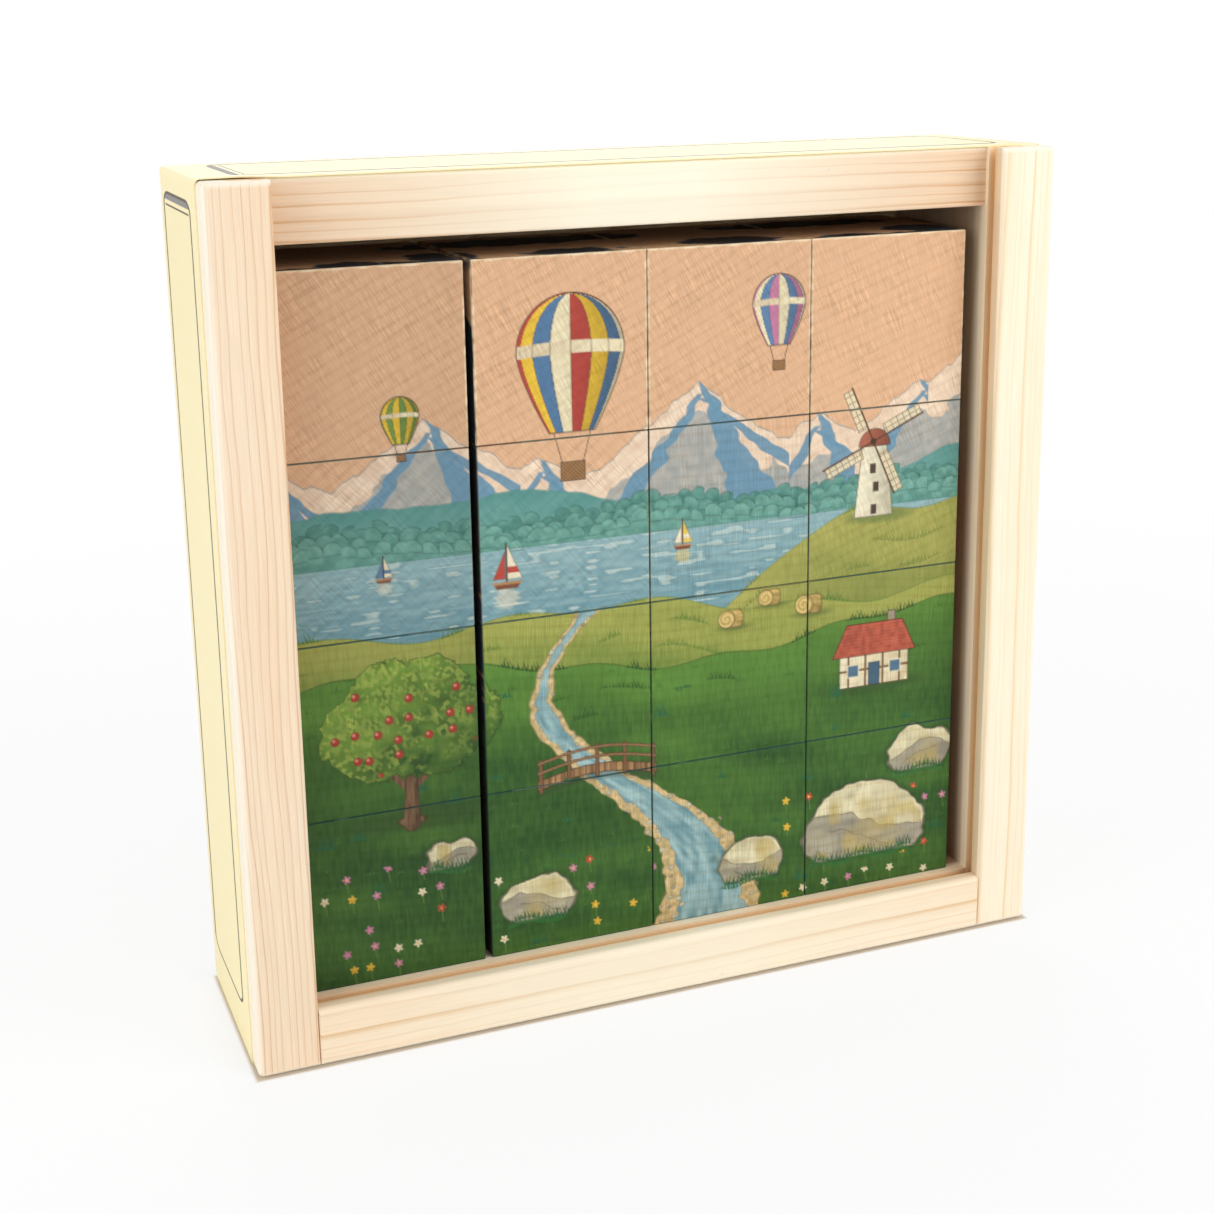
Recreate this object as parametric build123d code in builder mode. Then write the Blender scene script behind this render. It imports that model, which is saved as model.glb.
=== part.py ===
"""Picture-cube puzzle: printed wooden cubes in a shallow wooden box, standing on its long edge.

The box is four dowelled bars, a pinned back panel and a pasted paper band. A lid would run in
the groove that is ploughed through both stiles and along the bottom rail; the top rail stands
behind that groove, so the mouth is open at the top. Each cube lifts out through the front.

X runs across the picture, Y from the open front to the back, Z up. The origin is the centre of
the outline on the plane that the box stands on.
"""

import os

from build123d import *

# Picture cubes
COLUMNS = 4
ROWS = 4
CUBE = 40.0
CUBE_BREAK = 0.4  # sanded edges
LEFT_GAP = 0.8  # left stile to the first column
LOOSE_GAP = 1.6  # first column to the second
TIGHT_GAP = 0.1  # between the other columns
RIGHT_GAP = 4.4  # last column to the right stile
STACK_GAP = 0.05  # under each cube
TOP_GAP = 5.3  # over the top row

# Box bars, seen from the front
STILE_WIDTH = 13.8
RAIL_HEIGHT = 13.5
EDGE_ROUND = 1.2
LIP_ROUND = 1.5  # top front edge of the bottom rail
END_BREAK = 0.3  # front corners of the bottom rail, at its joints
RAIL_ROUND = 0.6  # front edges of the top rail

# Lid groove, measured back from the front
LID_LIP = 3.4
LID_GROOVE = 2.6
LID_GROOVE_DEPTH = 4.0
RAIL_RELIEF = 1.1  # top rail behind the back of the groove
CUBE_RELIEF = 1.9  # cube faces behind the back of the groove

# Back panel in its rebate
PANEL_THICKNESS = 2.4
PANEL_PLAY = 0.2  # cubes to the panel
REBATE_WIDTH = 4.5
REBATE_CORNER = 3.0  # left by the cutter
PANEL_FIT = 0.15

# Panel pins
PIN_RADIUS = 0.6
PIN_LENGTH = 12.0
PIN_HEAD_RADIUS = 1.2
PIN_HEAD = 0.5
PINS_PER_SIDE = 2
PIN_END_MARGIN = 24.0  # from the ends of each side of the opening

# Corner dowels
DOWEL_RADIUS = 3.0
DOWEL_IN_STILE = 9.0
DOWEL_IN_RAIL = 15.0
DOWEL_SPACING = 22.0

# Paper band pasted round the outside
PAPER = 0.3
PAPER_SET_BACK = 6.5  # from the front of the box
PAPER_BACK_MARGIN = 1.0

# Sizes that follow
opening_width = COLUMNS * CUBE + LEFT_GAP + LOOSE_GAP + (COLUMNS - 2) * TIGHT_GAP + RIGHT_GAP
opening_height = ROWS * (CUBE + STACK_GAP) + TOP_GAP
box_width = opening_width + 2 * STILE_WIDTH
box_height = opening_height + 2 * RAIL_HEIGHT
groove_back = LID_LIP + LID_GROOVE
cube_front = groove_back + CUBE_RELIEF
box_depth = cube_front + CUBE + PANEL_PLAY + PANEL_THICKNESS
rail_depth = box_depth - groove_back - RAIL_RELIEF

front = -box_depth / 2
back = box_depth / 2
base = PAPER
sill = base + RAIL_HEIGHT  # top of the bottom rail
head = sill + opening_height  # underside of the top rail
middle = sill + opening_height / 2
left_jamb = -opening_width / 2
panel_face = back - PANEL_THICKNESS
dowel_y = front + (box_depth + groove_back) / 2
rail_centres = (sill - RAIL_HEIGHT / 2, head + RAIL_HEIGHT / 2)

os.makedirs("parts", exist_ok=True)


def save(piece, name):
    """Labels a finished piece and writes it as its own file."""
    piece.part.label = name
    export_step(piece.part, f"parts/{name}.step")


def dowel_holes(x, outward, heights, depth):
    """Blind holes for one row of corner dowels at each height, drilled against outward."""
    spots = [
        Plane(origin=(x, dowel_y + side * DOWEL_SPACING / 2, z), z_dir=(outward, 0, 0))
        for z in heights
        for side in (-1, 1)
    ]
    with Locations(*spots):
        Hole(radius=DOWEL_RADIUS, depth=depth)


def pin_spots(y):
    """Places for the panel pins round the rebate, on a plane that faces backwards at y."""
    inset = REBATE_WIDTH / 2
    across = opening_width - 2 * PIN_END_MARGIN
    up = opening_height - 2 * PIN_END_MARGIN
    spots = []
    for step in range(PINS_PER_SIDE):
        share = step / (PINS_PER_SIDE - 1) - 0.5
        for side in (-1, 1):
            spots.append((share * across, middle + side * (opening_height / 2 + inset)))
            spots.append((side * (opening_width / 2 + inset), middle + share * up))
    return [Plane(origin=(x, y, z), z_dir=(0, 1, 0)) for x, z in spots]


def rebate():
    """Cuts the back-panel rebate, routed round the assembled frame, from the bar in hand."""
    with BuildSketch(Plane.XZ.offset(-back)) as pocket:
        with Locations((0, middle)):
            RectangleRounded(
                opening_width + 2 * REBATE_WIDTH, opening_height + 2 * REBATE_WIDTH, REBATE_CORNER
            )
    extrude(pocket.sketch, amount=PANEL_THICKNESS, mode=Mode.SUBTRACT)


def pin_holes():
    """Pilot holes in the bar in hand for the pins that come through the panel."""
    with Locations(*pin_spots(panel_face)):
        Hole(radius=PIN_RADIUS, depth=PIN_LENGTH - PANEL_THICKNESS)


# Left stile: full height, the lid groove ploughed right through its inner face
with BuildPart() as left_stile:
    with BuildSketch(Plane.XY.offset(base)):
        with Locations((left_jamb, 0)):
            Rectangle(STILE_WIDTH, box_depth, align=(Align.MAX, Align.CENTER))
    extrude(amount=box_height)
    inner_back = left_stile.edges().filter_by(Axis.Z).group_by(Axis.X)[-1].sort_by(Axis.Y)[-1]
    inner_ends = left_stile.edges().filter_by(Axis.Y).group_by(Axis.X)[-1]
    fillet(left_stile.edges() - [inner_back] - inner_ends, EDGE_ROUND)
    with BuildSketch(Plane.XY.offset(base)):
        with Locations((left_jamb, front + LID_LIP)):
            Rectangle(2 * LID_GROOVE_DEPTH, LID_GROOVE, align=(Align.CENTER, Align.MIN))
    extrude(amount=box_height, mode=Mode.SUBTRACT)
    rebate()
    pin_holes()
    dowel_holes(left_jamb, 1, rail_centres, DOWEL_IN_STILE)
save(left_stile, "left_stile")

with BuildPart() as right_stile:
    mirror(left_stile.part, about=Plane.YZ)
save(right_stile, "right_stile")

# Bottom rail: the sill that the cubes stand on, with the lid groove along its top
with BuildPart() as bottom_rail:
    with BuildSketch(Plane.YZ.offset(left_jamb)):
        with Locations((0, base)):
            Rectangle(box_depth, RAIL_HEIGHT, align=(Align.CENTER, Align.MIN))
    extrude(amount=opening_width)
    chamfer(bottom_rail.edges().filter_by(Axis.Z).group_by(Axis.Y)[0], END_BREAK)
    top_front = bottom_rail.edges().filter_by(Axis.X).group_by(Axis.Z)[-1].sort_by(Axis.Y)[0]
    fillet(top_front, LIP_ROUND)
    fillet(bottom_rail.edges().filter_by(Axis.X).group_by(Axis.Z)[0], EDGE_ROUND)
    with BuildSketch(Plane.YZ.offset(left_jamb)):
        with Locations((front + LID_LIP, sill)):
            Rectangle(LID_GROOVE, 2 * LID_GROOVE_DEPTH, align=(Align.MIN, Align.CENTER))
    extrude(amount=opening_width, mode=Mode.SUBTRACT)
    rebate()
    pin_holes()
    for end, outward in ((left_jamb, -1), (-left_jamb, 1)):
        dowel_holes(end, outward, rail_centres[:1], DOWEL_IN_RAIL)
save(bottom_rail, "bottom_rail")

# Top rail: stands behind the groove, so that a lid passes in front of it
with BuildPart() as top_rail:
    with BuildSketch(Plane.YZ.offset(left_jamb)):
        with Locations((back, head)):
            Rectangle(rail_depth, RAIL_HEIGHT, align=(Align.MAX, Align.MIN))
    extrude(amount=opening_width)
    fillet(top_rail.edges().filter_by(Axis.X).group_by(Axis.Y)[0], RAIL_ROUND)
    top_back = top_rail.edges().filter_by(Axis.X).group_by(Axis.Y)[-1].sort_by(Axis.Z)[-1]
    fillet(top_back, EDGE_ROUND)
    rebate()
    pin_holes()
    for end, outward in ((left_jamb, -1), (-left_jamb, 1)):
        dowel_holes(end, outward, rail_centres[1:], DOWEL_IN_RAIL)
save(top_rail, "top_rail")

# Back panel: thin board, flush in the rebate, counterbored for the pin heads
with BuildPart() as back_panel:
    with BuildSketch(Plane.XZ.offset(-back)):
        with Locations((0, middle)):
            RectangleRounded(
                opening_width + 2 * (REBATE_WIDTH - PANEL_FIT),
                opening_height + 2 * (REBATE_WIDTH - PANEL_FIT),
                REBATE_CORNER - PANEL_FIT,
            )
    extrude(amount=PANEL_THICKNESS)
    with Locations(*pin_spots(back)):
        CounterBoreHole(
            radius=PIN_RADIUS,
            counter_bore_radius=PIN_HEAD_RADIUS,
            counter_bore_depth=PIN_HEAD,
            depth=PANEL_THICKNESS,
        )
save(back_panel, "back_panel")

# Panel pins: headed wire pins, flush with the back
with BuildPart() as panel_pins:
    with Locations(*pin_spots(back)):
        Cylinder(PIN_HEAD_RADIUS, PIN_HEAD, align=(Align.CENTER, Align.CENTER, Align.MAX))
        Cylinder(PIN_RADIUS, PIN_LENGTH, align=(Align.CENTER, Align.CENTER, Align.MAX))
save(panel_pins, "panel_pins")

# Corner dowels: two through each butt joint
with BuildPart() as corner_dowels:
    dowel_length = DOWEL_IN_STILE + DOWEL_IN_RAIL
    for jamb, inward in ((left_jamb, 1), (-left_jamb, -1)):
        dowel_spots = [
            Plane(
                origin=(jamb - inward * DOWEL_IN_STILE, dowel_y + side * DOWEL_SPACING / 2, z),
                z_dir=(inward, 0, 0),
            )
            for z in rail_centres
            for side in (-1, 1)
        ]
        with Locations(*dowel_spots):
            Cylinder(
                DOWEL_RADIUS, dowel_length, align=(Align.CENTER, Align.CENTER, Align.MIN)
            )
save(corner_dowels, "corner_dowels")


def paper_panel(left, right, bottom, top):
    """Cuts one panel out of the band that follows the rounded outline of the box."""
    with BuildSketch(Plane.XZ.offset(-(front + PAPER_SET_BACK))) as outline:
        with Locations((0, middle)):
            RectangleRounded(box_width + 2 * PAPER, box_height + 2 * PAPER, EDGE_ROUND + PAPER)
            RectangleRounded(box_width, box_height, EDGE_ROUND, mode=Mode.SUBTRACT)
        with Locations((left, bottom)):
            Rectangle(
                right - left, top - bottom, align=(Align.MIN, Align.MIN), mode=Mode.INTERSECT
            )
    extrude(outline.sketch, amount=-(box_depth - PAPER_SET_BACK - PAPER_BACK_MARGIN))


# Paper band: the side panels turn the four corners, the others lie flat between them
fold = box_width / 2 - EDGE_ROUND
outside = box_width / 2 + PAPER
ceiling = base + box_height + PAPER
with BuildPart() as label_left:
    paper_panel(-outside, -fold, 0, ceiling)
save(label_left, "label_left")

with BuildPart() as label_right:
    paper_panel(fold, outside, 0, ceiling)
save(label_right, "label_right")

with BuildPart() as label_top:
    paper_panel(-fold, fold, middle, ceiling)
save(label_top, "label_top")

with BuildPart() as label_bottom:
    paper_panel(-fold, fold, 0, middle)
save(label_bottom, "label_bottom")

# Picture cubes, counted from the top left as the picture is read
gaps = [LEFT_GAP, LOOSE_GAP] + [TIGHT_GAP] * (COLUMNS - 2)
for row in range(1, ROWS + 1):
    floor = sill + STACK_GAP + (ROWS - row) * (CUBE + STACK_GAP)
    for column in range(1, COLUMNS + 1):
        start = left_jamb + sum(gaps[:column]) + (column - 1) * CUBE
        with BuildPart() as cube:
            with Locations((start, front + cube_front, floor)):
                Box(CUBE, CUBE, CUBE, align=(Align.MIN, Align.MIN, Align.MIN))
            chamfer(cube.edges(), CUBE_BREAK)
        save(cube, f"cube_r{row}c{column}")
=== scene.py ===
"""A picture-cube puzzle: sixteen printed wooden cubes in a shallow spruce box with a paper band."""

import math
from functools import partial, reduce

import bpy
import numpy as np
from mathutils import Matrix, Vector


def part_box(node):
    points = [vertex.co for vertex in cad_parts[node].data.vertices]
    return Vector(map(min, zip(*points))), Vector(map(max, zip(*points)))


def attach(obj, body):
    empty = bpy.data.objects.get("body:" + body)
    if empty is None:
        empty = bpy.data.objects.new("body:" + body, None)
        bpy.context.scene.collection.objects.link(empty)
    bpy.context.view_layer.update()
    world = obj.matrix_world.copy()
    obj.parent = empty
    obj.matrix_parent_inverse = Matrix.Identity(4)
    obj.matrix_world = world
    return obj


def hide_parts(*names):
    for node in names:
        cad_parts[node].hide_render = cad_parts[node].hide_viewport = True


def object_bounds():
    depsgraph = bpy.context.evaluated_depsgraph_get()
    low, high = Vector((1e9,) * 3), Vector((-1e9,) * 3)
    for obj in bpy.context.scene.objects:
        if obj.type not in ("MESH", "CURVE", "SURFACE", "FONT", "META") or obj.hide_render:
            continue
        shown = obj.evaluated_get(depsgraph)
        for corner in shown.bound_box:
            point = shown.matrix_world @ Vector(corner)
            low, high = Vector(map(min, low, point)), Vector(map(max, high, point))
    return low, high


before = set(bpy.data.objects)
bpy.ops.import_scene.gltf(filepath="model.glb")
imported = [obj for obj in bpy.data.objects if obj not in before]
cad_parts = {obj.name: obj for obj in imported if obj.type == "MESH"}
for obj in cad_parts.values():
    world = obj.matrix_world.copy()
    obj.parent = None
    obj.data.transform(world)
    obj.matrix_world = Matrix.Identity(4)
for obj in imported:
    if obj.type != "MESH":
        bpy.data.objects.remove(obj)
CAD_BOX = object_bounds()

MM = 0.001

# Printed cubes, in mm
ROWS = 4  # and as many columns
CUBE = 40
CUBE_EDGE = 0.3
PRINT_CUTS = 49  # mesh squares of 0.8 mm carry the pictures,
FRONT_CUTS = 2  # and thirds of them the one on the front
RIM_WEAR = 0.28  # how far the ink wears in from a face's edge

# Paper band, in mm
PAPER = 0.3
PAPER_GAP = 0.02  # keeps it off the wood
PAPER_FOLD = 1.1
PAPER_LIFT = 0.65  # where the paste has let go,
LOOSE_AT = 5.5  # this far from the left side,
LOOSE = 7  # over this much to each side and to the back


# ---- nodes and colours

def linear(code):
    """An sRGB hex colour as linear light with full cover."""
    parts = [int(code[i:i + 2], 16) / 255 for i in (1, 3, 5)]
    return [c / 12.92 if c <= 0.04045 else ((c + 0.055) / 1.055) ** 2.4 for c in parts] + [1]


def feed(node, inputs):
    """Gives a node's sockets, by name or in order, a value, a hex colour or a node's result."""
    sockets = [s for s in node.inputs if s.enabled]
    for key, value in inputs.items() if isinstance(inputs, dict) else enumerate(inputs):
        socket = sockets[key] if isinstance(key, int) else next(s for s in sockets if s.name == key)
        if isinstance(value, bpy.types.Node):
            value = next(s for s in value.outputs if s.enabled)
        if isinstance(value, bpy.types.NodeSocket):
            node.id_data.links.new(value, socket)
        else:
            socket.default_value = linear(value) if isinstance(value, str) else value


def add_node(tree, kind, inputs=(), stops=(), **settings):
    """Adds a node with its settings, its inputs and, for a ramp, its stops of grey or hex colour.

    A kind such as "Math MULTIPLY" holds the operation too. Mix nodes mix colours.
    """
    kind, *operation = kind.split()
    made = tree.nodes.new("ShaderNode" + kind)
    if operation:
        made.operation = operation[0]
    if kind == "Mix":
        made.data_type = "RGBA"
    for name, value in settings.items():
        setattr(made, name, value)
    for index, (place, colour) in enumerate(stops):
        steps = made.color_ramp.elements
        step = steps[index] if index < 2 else steps.new(place)
        step.position = place
        step.color = linear(colour) if isinstance(colour, str) else (colour, colour, colour, 1)
    feed(made, inputs)
    return made


def start(name, **finish):
    """A new material, what adds a node to it, its shader with constants set, and places in mm."""
    made = bpy.data.materials.new(name)
    made.use_nodes = True
    add = partial(add_node, made.node_tree)
    shader = made.node_tree.nodes["Principled BSDF"]
    for socket, value in finish.items():
        shader.inputs[socket.replace("_", " ")].default_value = value
    place = add("TexCoord").outputs["Object"]
    return made, add, shader, add("Mapping", {"Vector": place, "Scale": (1 / MM,) * 3})


def within(add, spot, low, high, soft):
    """1 inside a box given in mm, 0 outside it, fading over soft mm at its edges."""
    away = add("VectorMath SUBTRACT", [spot, [(a + b) / 2 for a, b in zip(low, high)]])
    away = add("VectorMath ABSOLUTE", [away])
    away = add("VectorMath SUBTRACT", [away, [(b - a) / 2 for a, b in zip(low, high)]])
    side = add("SeparateXYZ", [away]).outputs
    far = add("Math MAXIMUM", [side["X"], side["Y"]])
    far = add("Math MAXIMUM", [far, side["Z"]])
    return add("MapRange", [far, -soft, 0, 1, 0])


def finish_with(thing, material):
    """Gives an object its material in place of what it has."""
    thing.data.materials.clear()
    thing.data.materials.append(material)


# ---- woods, wire and paper

def spruce(name, pith, ring, tones, groove, inside, lit_middle=None, turn=(0, 0, 0), seed=0, lip=None):
    """Planed spruce: pale early wood and thin tan late wood in rings about a far-off pith.

    Pith is where the tree's heart lies in the turned pattern, and ring the width of a year,
    both in mm. The eye gets fine straight stripes on the faces and arcs on the ends. Painted
    shade browns the groove, dulls its lip and darkens the box's inside towards the back, a
    pale painted highlight lies on the outer edges, and a painted pool of light lightens the
    middle of some of the wood.
    """
    made, add, shader, spot = start(name, Roughness=0.55, IOR=1.45, Specular_IOR_Level=0.35)
    pale, warm, late = tones
    place = add("Mapping", {"Vector": spot, "Rotation": turn, "Location": [-side for side in pith]})
    lean = add("Mapping", {"Vector": place, "Scale": (30, 30, 150), "Location": (seed,) * 3},
               vector_type="TEXTURE")
    waver = add("TexNoise", {"Vector": lean, "Scale": 1, "Detail": 4, "Roughness": 0.48})
    waver = add("VectorMath SUBTRACT", [waver.outputs["Color"], (0.5, 0.5, 0.5)])
    waver = add("VectorMath SCALE", [waver, 6])
    bent = add("VectorMath ADD", [place, waver])
    flat = add("VectorMath MULTIPLY", [bent, (1, 1, 0)])
    years = add("Math DIVIDE", [add("VectorMath LENGTH", [flat]), ring])
    pace = add("TexNoise", {"W": years, "Scale": 0.4, "Detail": 1}, noise_dimensions="1D")
    years = add("Math MULTIPLY_ADD", [pace, 1.6, years])
    late_wood = add("ValToRGB", [add("Math FRACT", [years])], stops=[
        (0, 0.45), (0.07, 0), (0.62, 0.01), (0.82, 0.13), (0.91, 0.6), (0.96, 1)])
    strength = add("TexWhiteNoise", {"W": add("Math FLOOR", [years])}, noise_dimensions="1D")
    strength = add("MapRange", [strength, 0, 1, 0.35, 1])
    late_wood = add("Math MULTIPLY", [late_wood, strength])
    drift = add("Mapping", {"Vector": place, "Scale": (9, 9, 80)}, vector_type="TEXTURE")
    drift = add("TexNoise", {"Vector": drift, "Scale": 1, "Detail": 3})
    ground = add("Mix", [add("MapRange", [drift, 0.3, 0.7, 0, 1]), pale, warm])
    colour = add("Mix", [late_wood, ground, late])
    # Wood fibres are about 0.03 mm wide: drawn at 0.3 mm, to show as fine streaks.
    streak = add("Mapping", {"Vector": place, "Scale": (0.3, 0.3, 14)}, vector_type="TEXTURE")
    streak = add("TexNoise", {"Vector": streak, "Scale": 1, "Detail": 4, "Roughness": 0.6})
    fleck = add("Mapping", {"Vector": place, "Scale": (9, 9, 18)}, vector_type="TEXTURE")
    fleck = add("TexVoronoi", {"Vector": fleck, "Scale": 1})
    for shade in ([streak, 0.25, 0.75, 0.91, 1.05], [fleck, 0.015, 0.04, 0.75, 1]):
        colour = add("VectorMath SCALE", [colour, add("MapRange", shade)])
    low, high = (corner / MM for corner in CAD_BOX)
    # A pale painted highlight lies on the outer sides and their edges.
    lit_rim_inset = Vector((0.6, -9, 0.6))
    core = within(add, spot, low + lit_rim_inset, high - lit_rim_inset, 1)
    colour = add("Mix", [add("MapRange", [core, 0, 1, 0.75, 0]), colour, "#FFF9E8"])
    # A painted pool of light makes the middle of the wood paler.
    if lit_middle:
        left, right, soft, strength = lit_middle
        share = within(add, spot, (left, -99, -99), (right, 99, 999), soft)
        colour = add("Mix", [add("Math MULTIPLY", [share, strength]), colour, "#FFF8E2"])
    # Painted shade: the groove is browned, the inside darkened towards the back, and the lip
    # dulled.
    zones = [(1.5, (0.92, 0.71, 0.47), groove), (5.5, (0.47, 0.38, 0.32), inside)]
    if lip:
        zones.append((0.4, (0.84, 0.74, 0.65), lip))
    for soft, tint, corners in zones:
        tinted = add("VectorMath MULTIPLY", [colour, tint])
        colour = add("Mix", [within(add, spot, *corners, soft), colour, tinted])
    relief = add("Math MULTIPLY_ADD", [late_wood, 0.12, streak])
    bump = add("Bump", {"Height": relief, "Strength": 0.35, "Distance": 0.05 * MM})
    feed(shader, {"Base Color": colour, "Normal": bump})
    return made


def poplar_plywood():
    """Thin rotary-cut board: broad cathedral waves of pale and brown, with fine streaks."""
    made, add, shader, place = start("poplar_plywood", Roughness=0.6, IOR=1.45)
    broad = add("Mapping", {"Vector": place, "Scale": (0.012, 0.3, 0.05)})
    broad = add("TexNoise", {"Vector": broad, "Scale": 1, "Detail": 2, "Distortion": 0.4})
    band = add("Math FRACT", [add("Math MULTIPLY", [broad, 14])])
    face = add("ValToRGB", [band], stops=[
        (0, "#E2C79C"), (0.7, "#D9BB8C"), (0.9, "#C39F6D"), (1, "#E0C498")])
    fine = add("Mapping", {"Vector": place, "Scale": (0.08, 3, 3)})
    fine = add("TexNoise", {"Vector": fine, "Scale": 1, "Detail": 3})
    colour = add("VectorMath SCALE", [face, add("MapRange", [fine, 0.25, 0.75, 0.9, 1.05])])
    bump = add("Bump", {"Height": fine, "Strength": 0.4, "Distance": 0.06 * MM})
    feed(shader, {"Base Color": colour, "Normal": bump})
    return made


def turned_beech():
    """Beech dowel rod: even pinkish tan with short dark ray flecks."""
    made, add, shader, place = start("turned_beech", Roughness=0.5, IOR=1.45)
    ray = add("Mapping", {"Vector": place, "Scale": (0.25, 2, 2)})
    ray = add("TexNoise", {"Vector": ray, "Scale": 1, "Detail": 2})
    colour = add("ValToRGB", [ray], stops=[(0.35, "#D9B48C"), (0.66, "#B98C62")])
    feed(shader, {"Base Color": colour})
    return made


def drawn_steel():
    """Bright wire pins: plain grey metal, a little scuffed by the hammer."""
    made, add, shader, place = start("drawn_steel", Metallic=1)
    scuff = add("TexNoise", {"Vector": place, "Scale": 1.5, "Detail": 3})
    colour = add("ValToRGB", [scuff], stops=[(0.3, "#A9A8A4"), (0.7, "#C9C8C4")])
    feed(shader, {"Base Color": colour, "Roughness": add("MapRange", [scuff, 0, 1, 0.25, 0.5])})
    return made


def ruled_box(add, place, along, centre, half, corner):
    """Distance outside a rounded oblong on the paper, in mm, across and along the band."""
    split = add("SeparateXYZ", [place]).outputs
    reach = []
    for axis, middle, size in zip(("Y", along), centre, half):
        side = add("Math ABSOLUTE", [add("Math SUBTRACT", [split[axis], middle])])
        reach.append(add("Math SUBTRACT", [side, size - corner]))
    outer = add("CombineXYZ", [add("Math MAXIMUM", [side, 0]) for side in reach])
    inner = add("Math MINIMUM", [add("Math MAXIMUM", reach), 0])
    away = add("Math ADD", [add("VectorMath LENGTH", [outer]), inner])
    return add("Math SUBTRACT", [away, corner])


def printed_paper(low, high):
    """Smooth cream label paper with a ruled border and a grey bar on each side of the box."""
    made, add, shader, place = start(
        "printed_paper", Roughness=0.45, IOR=1.45, Specular_IOR_Level=0.4)
    split = add("SeparateXYZ", [place]).outputs
    # The rules that run along the box are twice as heavy: depth is halved, and so are their places.
    squeezed = add("Mapping", {"Vector": place, "Scale": (1, 0.5, 1)})
    centre, reach = (low + high) / 2 / MM, (high - low) / 2 / MM
    depth = (centre.y + 1.6) / 2
    pulp = add("TexNoise", {"Vector": place, "Scale": 0.9, "Detail": 5, "Roughness": 0.6})
    colour = add("ValToRGB", [pulp], stops=[(0.3, "#FFEEB9"), (0.7, "#FFF4C8")])
    # The border on two facing sides: the axis it runs along and the one it faces, its middle and
    # half length in mm, the end that has the bar, half its rule's width and the bar's ink.
    for along, facing, middle, half, outward, heavy, grey in (
            ("Z", "X", centre.z + 3, 88.5, 1, 0.2, "#8B8886"),
            ("X", "Z", centre.x + 1.2, 89.7, -1, 0.3, "#615E5C")):
        edge = ruled_box(add, squeezed, along, (depth, middle), (8.2, half), 2.6)
        end = add("Math SUBTRACT", [split[along], middle + outward * half])
        end = add("Math MULTIPLY", [end, outward])
        inner = add("Math LESS_THAN", [edge, -0.9])
        rules = []
        for distance, offset, width, share in ((edge, 0, heavy, 1), (end, 2.6, 0.1, inner)):
            off = add("Math ABSOLUTE", [add("Math ADD", [distance, offset])])
            rule = add("MapRange", [off, width, width + 0.2, 1, 0])
            rules.append(add("Math MULTIPLY", [rule, share]))
        bar = add("MapRange", [end, -1.6, -1.4, 0, 1])
        bar = add("Math MULTIPLY", [bar, add("MapRange", [edge, 0, 0.2, 1, 0])])
        axis = "XYZ".index(facing)
        seen = add("Math ABSOLUTE", [add("Math SUBTRACT", [split[facing], centre[axis]])])
        seen = add("Math GREATER_THAN", [seen, reach[axis] - 0.45])
        for mark, ink in ((bar, grey), (add("Math MAXIMUM", rules), "#57432E")):
            colour = add("Mix", [add("Math MULTIPLY", [mark, seen]), colour, ink])
    bump = add("Bump", {"Height": pulp, "Strength": 0.2, "Distance": 0.04 * MM})
    feed(shader, {"Base Color": colour, "Normal": bump})
    return made


def printed_beech(name, slant, seed):
    """Screen-printed beech block: sawn streaks and growth bands show through the flat ink.

    Slant is the streaks' angle on the block, in degrees.
    """
    made, add, shader, place = start(name, Roughness=0.55, IOR=1.45, Specular_IOR_Level=0.22)
    place = add("Mapping", {"Vector": place, "Location": (seed * 7, seed * 3, seed * 5)})
    # The saw leaves marks 0.1 mm apart: drawn at 0.2 mm, to show as fine crossed streaks.
    marks = []
    for angle, length, low, high in ((slant, 12, 0.87, 1.15), (slant + 90, 2, 0.955, 1.045)):
        mark = add("Mapping", {"Vector": place, "Rotation": (0.03, math.radians(angle), 0.03),
                               "Scale": (0.2, 0.2, length)}, vector_type="TEXTURE")
        mark = add("TexNoise", {"Vector": mark, "Scale": 1, "Detail": 1})
        marks.append(add("MapRange", [mark, 0.36, 0.66, low, high]))
    weave = add("Math MULTIPLY", marks)
    growth = add("Mapping", {"Vector": place, "Rotation": (0.1, math.radians(slant + 2), 0.15),
                             "Scale": (7, 7, 1)}, vector_type="TEXTURE")
    growth = add("TexWave", {"Vector": growth, "Scale": 0.132, "Distortion": 2.6, "Detail": 2,
                             "Detail Scale": 1.3}, bands_direction="Z")
    board = add("ValToRGB", [growth], stops=[(0, "#E3C7A0"), (0.5, "#F1DDBB"), (1, "#F5E4C6")])
    ink = add("Attribute", attribute_name="print").outputs
    bare = add("Mix", [ink["Alpha"], board, "#000000"])
    colour = add("VectorMath ADD", [bare, ink["Color"]])
    # Dark ink is thick and hides the wood, and the saw marks come in patches.
    thin = add("MapRange", [add("RGBToBW", [ink["Color"]]), 0.05, 0.4, 0.4, 1])
    patch = add("TexNoise", {"Vector": place, "Scale": 0.16, "Detail": 2})
    patch = add("MapRange", [patch, 0.35, 0.65, 0.4, 1.1])
    seen = add("Math MULTIPLY", [thin, patch])
    shade = add("Math SUBTRACT", [weave, 1])
    shade = add("Math MULTIPLY_ADD", [shade, seen, 1])
    colour = add("VectorMath SCALE", [colour, shade])
    band = add("Math MULTIPLY", [add("MapRange", [growth, 0, 0.5, 1, 0]), seen])
    tinted = add("VectorMath MULTIPLY", [colour, (0.93, 0.895, 0.86)])
    colour = add("Mix", [band, colour, tinted])
    bump = add("Bump", {"Height": weave, "Strength": 0.3, "Distance": 0.03 * MM})
    feed(shader, {"Base Color": colour, "Normal": bump})
    return made


# ---- the printed pictures

def chance(ix, iy, seed):
    """A fixed pseudo-random number from 0 to 1 for each whole-number cell."""
    wave = np.sin(ix * 127.1 + iy * 311.7 + seed * 74.7) * 43758.5453
    return wave - np.floor(wave)


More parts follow.
